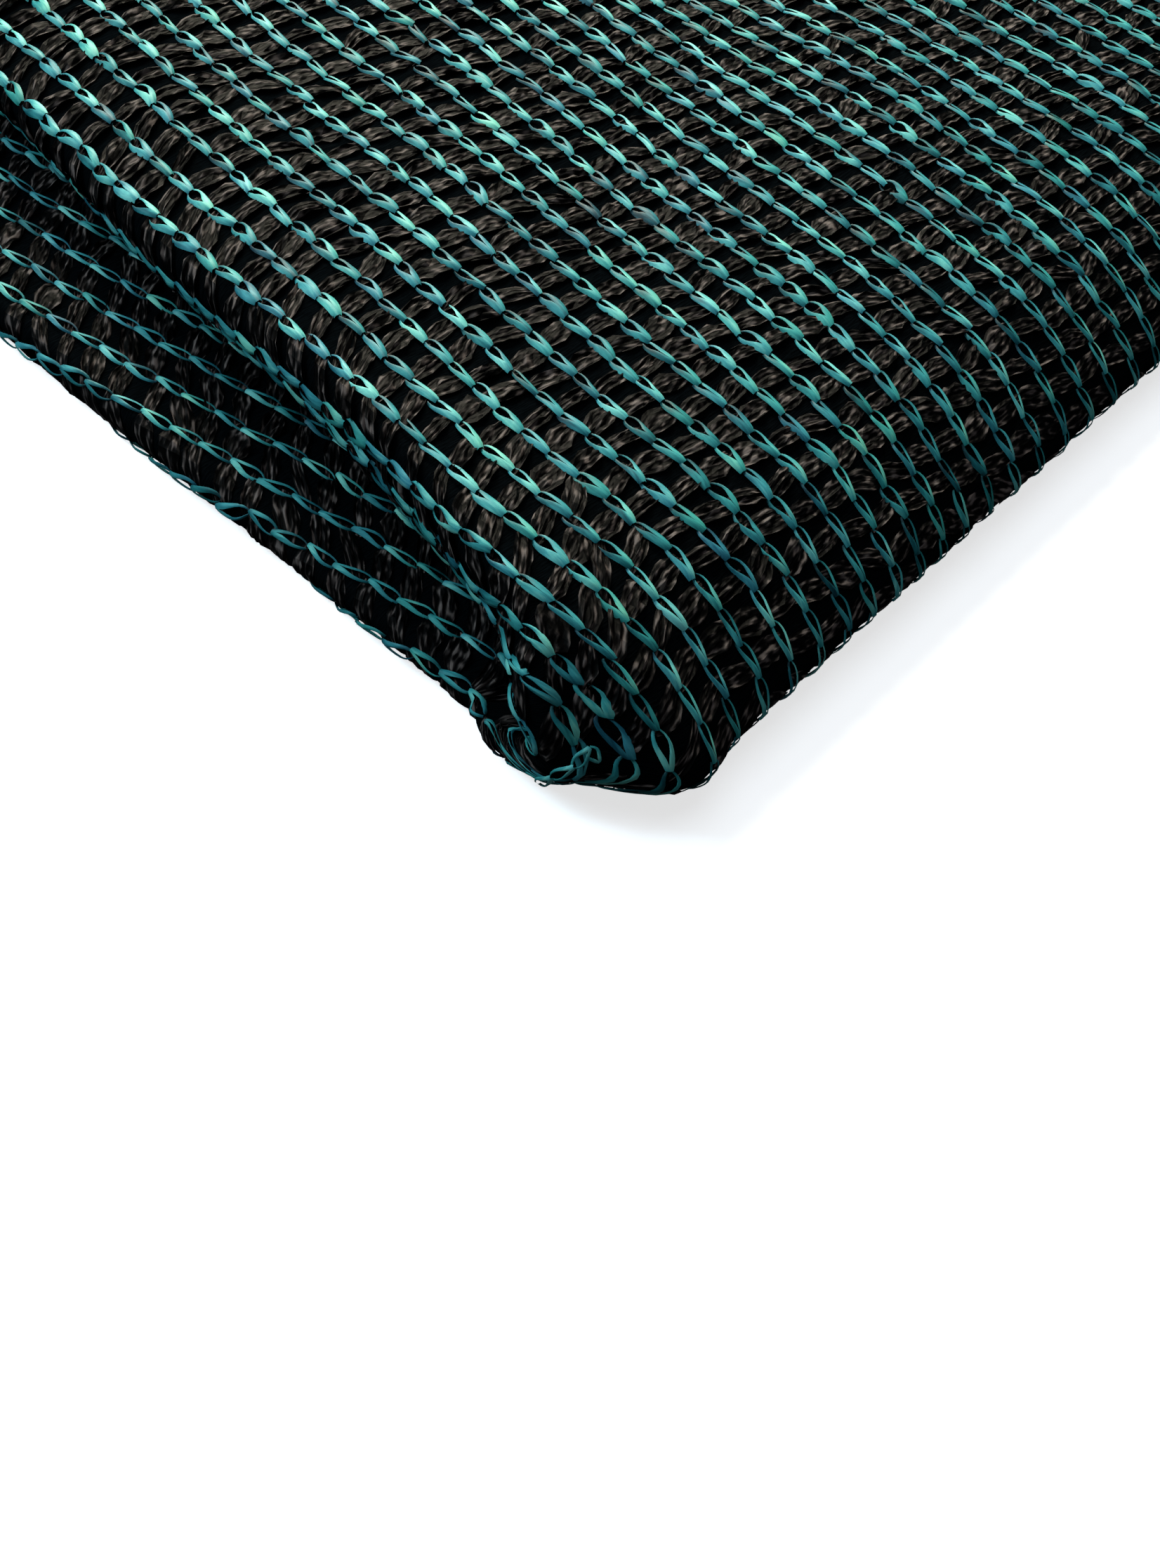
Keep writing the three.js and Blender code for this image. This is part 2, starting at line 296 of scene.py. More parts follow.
def sheet_point(reach, run):
    """Points in the middle of the folded sheet."""
    start = at_run("start", run)
    head, tail, bulge, half = roll_ends(run)
    turn = (1 - np.clip(reach / half, -1, 1)) * math.pi / 2
    rolled = (head + tail) / 2 + (head - tail) / 2 * np.cos(turn)[:, None]
    rolled = rolled - (bulge * np.sin(turn))[:, None] * ACROSS
    outer = layer_point(start + np.maximum(reach - half, 0), run, False)
    inner = layer_point(start + at_run("lean", run) + np.maximum(-reach - half, 0), run, True)
    return np.where((reach >= half)[:, None], outer, np.where((reach <= -half)[:, None], inner, rolled))


def off_sheet(reach, run, height):
    """Points at a height off the face side of the sheet, which is the outside of the pack.

    What would sink into the surface under the pack is pressed up to just above it.
    """
    reach, run, height = (np.asarray(x, float).ravel() for x in np.broadcast_arrays(reach, run, height))
    across = sheet_point(reach + NEAR_STEP, run) - sheet_point(reach - NEAR_STEP, run)
    along = sheet_point(reach, run + NEAR_STEP) - sheet_point(reach, run - NEAR_STEP)
    normal = np.cross(across, along)
    normal /= np.maximum(np.linalg.norm(normal, axis=1), 1e-9)[:, None]
    point = sheet_point(reach, run) + normal * height[:, None]
    pressed = LOWEST * np.exp(np.minimum(point[:, 2] - LOWEST, 0) / LOWEST / PRESS_SOFT)
    point[:, 2] = np.where(point[:, 2] < LOWEST, pressed, point[:, 2])
    return point


def row_wander(row, run):
    """How far a row of the upper strip lies from its straight place, in pitches."""
    bend = ROW_BEND["most"] * np.clip(1 - row / ROW_BEND["rows"], 0, ROW_BEND["top"])
    bend = bend * smooth(run, ROW_BEND["runs"])
    shift = ROW_SHIFT["by"] * smooth(row, ROW_SHIFT["rows"])
    past = np.clip(run, 0, ROW_SLANT["last_run"]) - ROW_SLANT["from_run"]
    slant = ROW_SLANT["start"] - ROW_SLANT["per_run"] * past
    slant = slant * smooth(row, ROW_SLANT["rows"])
    slant = slant + ROW_SPREAD["per_row"] * np.clip(row - ROW_SPREAD["past"], 0, ROW_SPREAD["most_rows"])
    crest = ROW_SWELL["row"] - ROW_SWELL["per_run"] * run
    swell = ROW_SWELL["high"] * np.exp(-(((row - crest) / ROW_SWELL["wide"]) ** 2))
    swell = swell * smooth(run, ROW_SWELL["runs"])
    crowd = ROW_CROWD["each"] * np.clip(-row, 0, ROW_CROWD["most"])
    bend = bend + crowd * smooth(run, ROW_CROWD["runs"])
    return (bend + shift + slant + swell) * smooth(run, ROW_TURN)


def reach_of_row(row, run):
    """Where a row, counted in pitches from the corner, lies across the strip. Rows may be fractions."""
    beyond = (row + row_wander(row, run)) * ROW_PITCH - at_run("crown_row", run)
    half = np.interp(run, LINE["run"], ROLL_HALF)
    inward = np.maximum(-beyond, 0)
    closer = CROWN_ROWS["closer"] * smooth(inward, CROWN_ROWS["between"])
    inward = inward - closer * smooth(run, CROWN_ROWS["runs"])
    return half + np.where(beyond >= 0, beyond / ACROSS[0], -inward)


def mesh_object(name, points, faces, finish, uv, tone=None, smooth_faces=True):
    """A piece that rides on the pack, with a knit UV layer and a tone for each point."""
    mesh = bpy.data.meshes.new(name)
    placed = (np.asarray(points) - FOOTPRINT_MIDDLE) * METRE
    mesh.from_pydata(placed.tolist(), [], np.asarray(faces).tolist())
    mesh.materials.append(finish)
    mesh.polygons.foreach_set("use_smooth", [smooth_faces] * len(mesh.polygons))
    if tone is not None:
        layer = mesh.attributes.new("tone", "FLOAT", "POINT")
        layer.data.foreach_set("value", np.asarray(tone, np.float32).ravel())
    corners = np.zeros(len(mesh.loops), np.int32)
    mesh.loops.foreach_get("vertex_index", corners)
    layer = mesh.uv_layers.new(name="knit")
    layer.data.foreach_set("uv", np.asarray(uv, np.float32)[corners].ravel())
    mesh.update()
    piece = bpy.data.objects.new(name, mesh)
    bpy.context.scene.collection.objects.link(piece)
    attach(piece, "root")
    return piece


class Wire:
    """One output of a shader node. Arithmetic on it adds Math nodes."""

    def __init__(self, finish, socket):
        self.finish = finish
        self.socket = socket

    def math(self, operation, first, second):
        return self.finish.add("ShaderNodeMath", {"operation": operation}, {0: first, 1: second})

    def __add__(self, other):
        return self.math("ADD", self, other)

    def __radd__(self, other):
        return self.math("ADD", other, self)

    def __sub__(self, other):
        return self.math("SUBTRACT", self, other)

    def __rsub__(self, other):
        return self.math("SUBTRACT", other, self)

    def __mul__(self, other):
        return self.math("MULTIPLY", self, other)

    def __rmul__(self, other):
        return self.math("MULTIPLY", other, self)


class Finish:
    """A material and the nodes that vary it."""

    def __init__(self, name, colour, roughness, specular):
        self.material = bpy.data.materials.new(name)
        self.material.use_nodes = True
        self.tree = self.material.node_tree
        self.shader = self.tree.nodes["Principled BSDF"]
        self.material.diffuse_color = (*colour, 1)
        self.set("Base Color", (*colour, 1))
        self.set("Roughness", roughness)
        self.set("Specular IOR Level", specular)

    def set(self, name, value):
        """Sets or links one input of the material's shader."""
        socket = self.shader.inputs[name]
        if isinstance(value, Wire):
            self.tree.links.new(value.socket, socket)
        else:
            socket.default_value = value

    def add(self, kind, settings, sockets, out=0):
        """Adds a node with its settings, and sets or links its inputs."""
        node = self.tree.nodes.new(kind)
        for name, value in settings.items():
            if name == "stops":
                ramp = node.color_ramp
                while len(ramp.elements) < len(value):
                    ramp.elements.new(0.5)
                for stop, (place, colour) in zip(ramp.elements, value):
                    stop.position = place
                    stop.color = (*colour, 1)
            else:
                setattr(node, name, value)
        for name, value in sockets.items():
            if isinstance(value, Wire):
                self.tree.links.new(value.socket, node.inputs[name])
            else:
                node.inputs[name].default_value = value
        return Wire(self, node.outputs[out])

    def knit_place(self, scale):
        """The place in the knit's own lengths, scaled across and along."""
        place = self.add("ShaderNodeUVMap", {"uv_map": "knit"}, {})
        return self.add("ShaderNodeMapping", {}, {"Vector": place, "Scale": (*scale, 1)})

    def noise(self, vector, scale, detail):
        return self.add("ShaderNodeTexNoise", {}, {"Vector": vector, "Scale": scale, "Detail": detail})

    def tone(self):
        """The tone given to each point of the mesh."""
        return self.add("ShaderNodeAttribute", {"attribute_name": "tone"}, {}, "Fac")

    def ramp(self, value, stops):
        return self.add("ShaderNodeValToRGB", {"stops": stops}, {"Fac": value})

    def bump(self, height, strength, distance):
        sockets = {"Height": height, "Strength": strength, "Distance": distance}
        self.set("Normal", self.add("ShaderNodeBump", {}, sockets))


def turquoise_tape():
    """The chains: fine fibres along the stitch, from deep blue green to pale turquoise, by a tone that
    carries painted light and shade.
    """
    finish = Finish("turquoise_tape", (0.03, 0.45, 0.44), 0.4, 0.1)
    fibres = finish.noise(finish.knit_place((4.5, 0.5)), 1.0, 3.0)
    shade = finish.tone() + (fibres - 0.5) * 0.8
    stops = [
        (0.0, (0.0015, 0.026, 0.036)),
        (0.35, (0.008, 0.105, 0.128)),
        (0.7, (0.034, 0.255, 0.275)),
        (1.0, (0.13, 0.46, 0.42)),
    ]
    hue = finish.noise(finish.knit_place((0.11, 0.11)), 1.0, 0.0) * 0.1 + 0.45
    colour = finish.ramp(shade, stops)
    finish.set("Base Color", finish.add("ShaderNodeHueSaturation", {}, {"Hue": hue, "Color": colour}))
    finish.set("Roughness", 0.62 - fibres * 0.25)
    finish.bump(fibres, 0.5, 0.00006)
    return finish.material


def black_tape():
    """The crossing tapes: black, with patches of warm grey painted into the colour as glints where a
    facet would catch the light.
    """
    finish = Finish("black_tape", (0.003, 0.003, 0.003), 0.5, 0.018)
    fibres = finish.noise(finish.knit_place((4.0, 1.2)), 1.0, 2.0)
    glint_blotches = finish.noise(finish.knit_place((1.9, 0.8)), 1.0, 0.5)
    shade = finish.tone() * 0.4 + fibres * 0.25 + (glint_blotches - 0.5) * 1.7 + 0.18
    # The warm grey stops are painted glints.
    stops = [
        (0.3, (0.0006, 0.0006, 0.0007)),
        (0.48, (0.0020, 0.0018, 0.0019)),
        (0.62, (0.017, 0.0142, 0.0138)),
        (0.85, (0.095, 0.078, 0.074)),
    ]
    finish.set("Base Color", finish.ramp(shade, stops))
    finish.set("Roughness", 0.4 + fibres * 0.3)
    finish.bump(glint_blotches, 0.8, 0.0003)
    return finish.material


def black_ground_and_hole_shade():
    """The sheet under the knit, all but black: black like the tapes, and painted shade for the holes of
    the knit.
    """
    finish = Finish("black_ground_and_hole_shade", (0.001, 0.0016, 0.002), 1.0, 0.0)
    weave = finish.noise(finish.knit_place((1.0, 6.0)), 3.0, 3.0)
    stops = [(0.35, (0.0007, 0.0011, 0.0014)), (0.75, (0.0018, 0.0027, 0.0034))]
    finish.set("Base Color", finish.ramp(weave, stops))
    finish.bump(weave, 0.8, 0.0002)
    return finish.material


def grid_faces(rows, columns):
    """Faces of a grid of points, counted row by row."""
    corner = (np.arange(rows - 1)[:, None] * columns + np.arange(columns - 1)[None, :]).ravel()
    return np.column_stack([corner, corner + columns, corner + columns + 1, corner + 1])


# The sheet under the knit: how far it lies under the middle of the cloth and stops short of its cut
# edges, how far out from the folds it is fine, and how many lines it has past that. Next to the rolled
# edge the lines lie half a millimetre apart, then one, and at the nose 0.6.
GROUND = {"drop": 0.12, "inset": 0.6, "fine": 24, "upper": 82, "lower": 76, "across": 92}
GROUND_STEPS = {"roll": 0.5, "roll_to": 10, "past": 1.0, "nose": 0.6}


def ground_sheet(finish):
    """The sheet under the knit, one open layer a little behind the middle of the cloth."""
    fine = GROUND["fine"]
    inset = GROUND["inset"]
    rolled = np.arange(0, GROUND_STEPS["roll_to"], GROUND_STEPS["roll"])
    past = np.arange(GROUND_STEPS["roll_to"], fine, GROUND_STEPS["past"])
    near = np.concatenate([rolled, past])[:, None]
    nose = np.arange(-fine, fine, GROUND_STEPS["nose"])
    upper = np.linspace(fine, STRIP["upper"] - inset, GROUND["upper"])
    lower = np.linspace(-STRIP["lower"] + inset, -fine, GROUND["lower"])
    run = np.concatenate([lower[:-1], nose, upper])
    half = np.interp(run, LINE["run"], ROLL_HALF)
    layers = []
    for side in ("inner", "outer"):
        far = np.linspace(0, 1, GROUND["across"])[:, None]
        far = fine * (1 - far) + (WIDTH[side] - inset + half[None, :]) * far
        layers.append(np.vstack([near + 0 * half, far]))
    grid_reach = np.vstack([-layers[0][:0:-1], layers[1]])
    grid_run = run[None, :] + 0 * grid_reach
    points = off_sheet(grid_reach, grid_run, -GROUND["drop"])
    uv = np.column_stack([grid_reach.ravel() / ROW_PITCH, grid_run.ravel() / STITCH])
    return mesh_object("netting_ground", points, grid_faces(*grid_reach.shape), finish, uv)


# A chain stitch from the end where it comes up through the one before to its tip: how far along, half
# the width of the whole, half the width of its eye, and height. A stitch is drawn tight or stands open,
# is thin where the netting turns over, and is plain on the hidden faces of the pack.
STITCH_TIGHT = {
    "along": [0, 0.07, 0.16, 0.28, 0.40, 0.54, 0.70, 0.86, 1.0],
    "half": [0.29, 0.43, 0.55, 0.62, 0.63, 0.61, 0.57, 0.49, 0.34],
    "eye": [0.08, 0.17, 0.20, 0.14, 0.03, 0, 0, 0, 0],
    "high": [0.02, 0.10, 0.17, 0.23, 0.28, 0.32, 0.34, 0.31, 0.20],
}
STITCH_OPEN = {
    "along": [0, 0.07, 0.16, 0.28, 0.40, 0.54, 0.70, 0.86, 1.0],
    "half": [0.29, 0.48, 0.63, 0.71, 0.72, 0.67, 0.60, 0.50, 0.34],
    "eye": [0.12, 0.30, 0.42, 0.45, 0.36, 0.14, 0, 0, 0],
    "high": [0.02, 0.08, 0.14, 0.20, 0.25, 0.29, 0.32, 0.30, 0.20],
}
STITCH_THIN = {
    "along": [0, 0.07, 0.16, 0.28, 0.40, 0.54, 0.70, 0.86, 1.0],
    "half": [0.20, 0.34, 0.46, 0.54, 0.56, 0.52, 0.43, 0.32, 0.22],
    "eye": [0.04, 0.16, 0.28, 0.34, 0.32, 0.22, 0.08, 0, 0],
    "high": [0.02, 0.10, 0.17, 0.22, 0.26, 0.29, 0.31, 0.29, 0.20],
}
STITCH_PLAIN = {
    "along": [0, 0.30, 0.62, 1.0],
    "half": [0.30, 0.58, 0.50, 0.16],
    "eye": [0.14, 0.2, 0, 0],
    "high": [0.0, 0.22, 0.30, 0.16],
}
STITCH_LENGTH = 1.1 * STITCH
STITCH_LIFT = 0.03
# A strand's section: how far its edges hang, how high it arches and more where it is wide, and how far
# its edge drops into the eye, up to an eye of this half width. Plain strands have edges alone.
STRAND = {"edge": -0.16, "arch": 0.05, "per_width": 0.04, "into_eye": 0.09, "eye": 0.1, "plain": -0.12}
# A tipped stitch turns this much at its ends, and this much more in its middle.
TIP_SHARE = (0.35, 0.65)
# Runs per millimetre along a row stay within these, where the sheet is drawn in at the corner.
RATE_LIMITS = (0.4, 2.2)
# Stitches lie flatter under the nose.
NOSE_FLAT = {"by": 0.5, "run": -4, "wide": 6}
# Where stitches go thin: towards the nose on the upper strip, and all over the lower one.
THIN = {"most": 0.85, "runs": (20, 0)}
# How stitches differ by chance: mean and spread, or spread alone. Angles are in degrees.
STITCH_CHANCE = {
    "open": (0.6, 0.4),
    "thin": 0.15,
    "wide": (1.08, 0.1),
    "yaw": 5,
    "tip": 9,
    "shift": 0.07,
    "slide": 0.1,
    "eye": 0.09,
}
# Every second stitch leans to the other side.
STITCH_SWAY = {"yaw": 3, "tip": 2, "shift": 0.05}
# How light a stitch is painted: each stitch and strand at random, one side lighter as painted light,
# lightest past its eye as a painted highlight where it faces the light, and darker at its root and its
# end as painted shade where the stitches pass through each other.
STITCH_TONE_AND_LIGHT = {
    "mean": 0.5,
    "each": 0.13,
    "strand": 0.12,
    "side": 0.06,
    "low": 0.1,
    "rise": (0.28, (0.2, 0.7)),
    "root": (0.42, 0.14),
    "end": (0.2, (0.88, 1)),
}
# The end of a chain that climbs the corner free of the sheet: across, back and high.
CORNER_CHAIN = [(-1.1, 9.5, 2.4), (-1.4, 8.2, 4.5), (-0.7, 6.9, 6.3), (0.9, 6.9, 7.1), (1.2, 6.0, 6.2)]
# The loose chain's tone: painted light past each stitch's eye.
CORNER_TONE_AND_LIGHT = {"low": 0.55, "rise": (0.3, (0.2, 0.7))}
# Its stitches reach over both of their ends a little, and differ in width.
CORNER_OVERLAP = 0.05
CORNER_WIDE = (0.8, 1.1)
# Tapes from row to row: width at the rows and what the middle adds, folds there, height over the
# middle of the cloth, and how far a tape lies before its stitch.
TAPE_WIDTH = {"rows": 1.3, "middle": 1.0, "chance": (0.3, 1.3)}
TAPE_FOLD = {"most": 0.15, "rows": 0.5, "middle": 0.7}
TAPE_ARCH = (0.4, 1.25)
TAPE_HEIGHT = -0.06
TAPE_BEFORE = 0.55
TAPE_OVERLAP = 0.06
TAPE_CHANCE = {"lane": 0.05, "point": 0.035, "height": 0.07, "along": 0.22, "skew": 0.7}
# How light each tape is painted, at random by pleat and by point: its light places become painted
# glints.
TAPE_GLINT_TONE = {"mean": 0.4, "lane": 0.12, "point": 0.3}
# By the rolled edge and in the lower strip the tapes lean away from the nose by this much per row.
TAPE_LEAN = {"most": 2.2, "rows": (4.5, 0.5)}
# Tapes lie calmer over the lower crease and around the nose.
TAPE_CALM = {"by": 0.6, "crease": 5, "below": -6, "nose": 6}
# A stitch's neighbour on the next row is looked for this near, and a tape stops this short of the cut.
NEIGHBOUR = {"step": 0.25, "within": 2 * ROW_PITCH, "too_far": 10, "cut": 0.3}
# What shows in the photograph, by reach and run: the upper strip and the shaded face of the lower one.
SHOWN_STITCHES = {"upper": (-7, -9), "wedge": (-36, 9), "wedge_run": -9}
SHOWN_TAPES = {"upper": (-9, -9), "wedge": (-40, 12), "wedge_run": -7}
# The sheet has these rows at most, and stitches stop this short of its cut edges.
ROWS = range(-60, 46)
CUT_INSET = 0.8


def stitch_places():
    """Each stitch of the sheet: its row, its count along the row, its run and how run grows along it."""
    rows, counts, runs, rates, reaches = [], [], [], [], []
    ruler = np.arange(-STRIP["lower"], STRIP["upper"], 0.5)
    for row in ROWS:
        reach = reach_of_row(row, ruler)
        path = sheet_point(reach, ruler)
        walked = np.concatenate([[0], np.cumsum(np.linalg.norm(np.diff(path, axis=0), axis=1))])
        walked -= np.interp(0, ruler, walked)
        phase = -ACROSS[1] * row * ROW_PITCH
        first = math.ceil((walked[0] - phase) / STITCH)
        last = math.floor((walked[-1] - phase) / STITCH)
        count = np.arange(first, last + 1)
        length = phase + count * STITCH
        run = np.interp(length, walked, ruler)
        rate = (np.interp(length + 0.5, walked, ruler) - np.interp(length - 0.5, walked, ruler))
        rows.append(np.full(len(count), row))
        counts.append(count)
        runs.append(run)
        rates.append(np.clip(rate, *RATE_LIMITS))
        reaches.append(np.interp(run, ruler, reach))
    table = {
        "row": np.concatenate(rows).astype(float),
        "count": np.concatenate(counts),
        "run": np.concatenate(runs),
        "rate": np.concatenate(rates),
        "reach": np.concatenate(reaches),
    }
    half = np.interp(table["run"], LINE["run"], ROLL_HALF)
    inside = table["reach"] < WIDTH["outer"] + half - CUT_INSET
    inside &= table["reach"] > -WIDTH["inner"] - half + CUT_INSET
    return {name: values[inside] for name, values in table.items()}


def chosen(places, mask):
    """The stitches that a mask picks out."""
    return {name: values[mask] for name, values in places.items()}


def stitch_template(shape, strand_points):
    """Columns of a stitch: along, across and height, one row of points per section, and its faces."""
    along, half, eye, high = (np.array(shape[k]) for k in ("along", "half", "eye", "high"))
    if strand_points == 3:
        across = np.column_stack([-half, -(half + eye) / 2, -eye, eye, (half + eye) / 2, half])
        crown = STRAND["arch"] + STRAND["per_width"] * (half - eye)
        inner = crown - STRAND["into_eye"] * np.minimum(eye / STRAND["eye"], 1)
        rise = np.column_stack([STRAND["edge"] + 0 * crown, crown, inner] * 2)
        rise[:, 3:] = rise[:, 2::-1]
        lanes = [(0, 1), (1, 2), (3, 4), (4, 5)]
    else:
        across = np.column_stack([-half, -eye, eye, half])
        rise = np.tile([STRAND["plain"], 0.0, 0.0, STRAND["plain"]], (len(half), 1))
        lanes = [(0, 1), (2, 3)]
    height = high[:, None] + rise
    lengthwise = np.broadcast_to(along[:, None] * STITCH_LENGTH, across.shape)
    wide = across.shape[1]
    faces = [
        (i * wide + a, (i + 1) * wide + a, (i + 1) * wide + b, i * wide + b)
        for i in range(len(along) - 1)
        for a, b in lanes
    ]
    return np.stack([lengthwise, across, height], axis=-1).reshape(-1, 3), np.array(faces)


def repeated(faces, points_each, copies):
    """The faces of many copies of a template, one after the other."""
    return (faces[None] + points_each * np.arange(copies)[:, None, None]).reshape(-1, faces.shape[1])


def chain_stitches(name, places, finish, shapes, seed, strand_points=3):
    """Rows of chain stitches on the sheet, each a little turned, tipped and scaled by itself."""
    chance = np.random.default_rng(seed)
    total = len(places["row"])
    template, faces = stitch_template(shapes[0], strand_points)
    local = np.repeat(template[None], total, axis=0)
    by_chance = STITCH_CHANCE
    if len(shapes) > 1:
        opened, thin = (stitch_template(shape, strand_points)[0][None] for shape in shapes[1:])
        openness = np.clip(chance.normal(*by_chance["open"], total), 0, 1)[:, None, None]
        thinness = THIN["most"] * smooth(places["run"], THIN["runs"])
        thinness = np.clip(thinness + chance.normal(0, by_chance["thin"], total), 0, 1)[:, None, None]
        local = local * (1 - openness) + opened * openness
        local = local * (1 - thinness) + thin * thinness
    side = np.where(places["count"] % 2 == 0, 1.0, -1.0)
    wide = chance.normal(*by_chance["wide"], total)
    yaw = np.radians(side * STITCH_SWAY["yaw"] + chance.normal(0, by_chance["yaw"], total))
    tip = np.radians(side * STITCH_SWAY["tip"] + chance.normal(0, by_chance["tip"], total))
    shift = side * STITCH_SWAY["shift"] + chance.normal(0, by_chance["shift"], total)
    slide = chance.normal(0, by_chance["slide"], total)
    eye_pull = chance.normal(0, by_chance["eye"], total)
    along = local[..., 0] - STITCH_LENGTH / 2
    part = local[..., 0] / STITCH_LENGTH
    across = local[..., 1] * wide[:, None] + eye_pull[:, None] * np.sin(math.pi * part)
    tipped = TIP_SHARE[0] + TIP_SHARE[1] * np.sin(math.pi * part)
    height = local[..., 2] + across * np.tan(tip)[:, None] * tipped
    under = ((places["run"] - NOSE_FLAT["run"]) / NOSE_FLAT["wide"]) ** 2
    height = height * (1 - NOSE_FLAT["by"] * np.exp(-under))[:, None]
    turned_along = along - across * np.sin(yaw)[:, None]
    turned_across = across * np.cos(yaw)[:, None] + along * np.sin(yaw)[:, None] + shift[:, None]
    run = places["run"][:, None] - (turned_along + slide[:, None]) * places["rate"][:, None]
    row = np.repeat(places["row"][:, None], run.shape[1], axis=1)
    reach = reach_of_row(row.ravel(), run.ravel()) + turned_across.ravel()
    points = off_sheet(reach, run.ravel(), STITCH_LIFT + height.ravel())
    base = chance.normal(STITCH_TONE_AND_LIGHT["mean"], STITCH_TONE_AND_LIGHT["each"], total)[:, None]
    strand = chance.normal(0, STITCH_TONE_AND_LIGHT["strand"], (total, 2))
    strand = np.where(local[..., 1] < 0, strand[:, :1], strand[:, 1:])
    rise, rise_span = STITCH_TONE_AND_LIGHT["rise"]
    root, root_part = STITCH_TONE_AND_LIGHT["root"]
    end, end_span = STITCH_TONE_AND_LIGHT["end"]
    # Painted light and shade: one side and the part past the eye are painted lighter, the root and the
    # end darker.
    tone = base + strand + STITCH_TONE_AND_LIGHT["side"] * np.sign(local[..., 1]) - STITCH_TONE_AND_LIGHT["low"]
    tone = tone + rise * smooth(part, rise_span)
    tone = tone - root * np.clip(1 - part / root_part, 0, 1) - end * smooth(part, end_span)
    uv_across = local[..., 1].ravel() + chance.uniform(0, 40, total).repeat(len(template))
    uv_along = local[..., 0].ravel() + chance.uniform(0, 90, total).repeat(len(template))
    faces = repeated(faces, len(template), total)
    uv = np.column_stack([uv_across, uv_along])
    piece = mesh_object(name, points, faces, finish, uv, np.clip(tone, 0, 1))
    return piece


def loose_chain(name, ends, finish, seed):
    """A chain that hangs free of the sheet at the corner, one stitch from each point to the next."""
    chance = np.random.default_rng(seed)
    template, faces = stitch_template(STITCH_THIN, 3)
    ends = np.array([across * ACROSS + back * BACK + high * UP for across, back, high in ends])
    outward = (UP - ACROSS - BACK) / math.sqrt(3)
    points = []
    for start, end in zip(ends, ends[1:]):
        ahead = (end - start) / np.linalg.norm(end - start)
        face = outward - ahead * (outward @ ahead)
        face /= np.linalg.norm(face)
        part = template[:, :1] / STITCH_LENGTH * (1 + 2 * CORNER_OVERLAP) - CORNER_OVERLAP
        side = template[:, 1:2] * np.cross(face, ahead) * chance.uniform(*CORNER_WIDE)
        points.append(start + part * (end - start) + side + template[:, 2:] * face)
    uv = np.tile(template[:, 1::-1], (len(points), 1)) + 3.0
    # Painted light: each stitch of the loose chain is painted lighter past its eye.
    rise, rise_span = CORNER_TONE_AND_LIGHT["rise"]
    tone = CORNER_TONE_AND_LIGHT["low"] + rise * smooth(template[:, 0] / STITCH_LENGTH, rise_span)
    faces = repeated(faces, len(template), len(points))
    piece = mesh_object(name, np.vstack(points), faces, finish, uv, np.tile(tone, len(points)))
    return piece


def neighbours(places):
    """Which stitches have a row beyond them, and the run of the nearest place on that row."""
    first, far_run = [], []
    ruler = np.arange(-STRIP["lower"], STRIP["upper"], NEIGHBOUR["step"])
    for row in np.unique(places["row"])[:-1]:
        here = np.flatnonzero(places["row"] == row)
        path = sheet_point(reach_of_row(row + 1, ruler), ruler)
        point = sheet_point(places["reach"][here], places["run"][here])
        gap = np.linalg.norm(path[None] - point[:, None], axis=2)
        away = np.abs(ruler[None] - places["run"][here][:, None]) > NEIGHBOUR["within"]
        found = ruler[np.argmin(gap + NEIGHBOUR["too_far"] * away, axis=1)]
        edge = WIDTH["outer"] + np.interp(found, LINE["run"], ROLL_HALF) - NEIGHBOUR["cut"]
        inside = reach_of_row(row + 1, found) < edge
        first.append(here[inside])
        far_run.append(found[inside])
    return np.concatenate(first), np.concatenate(far_run)


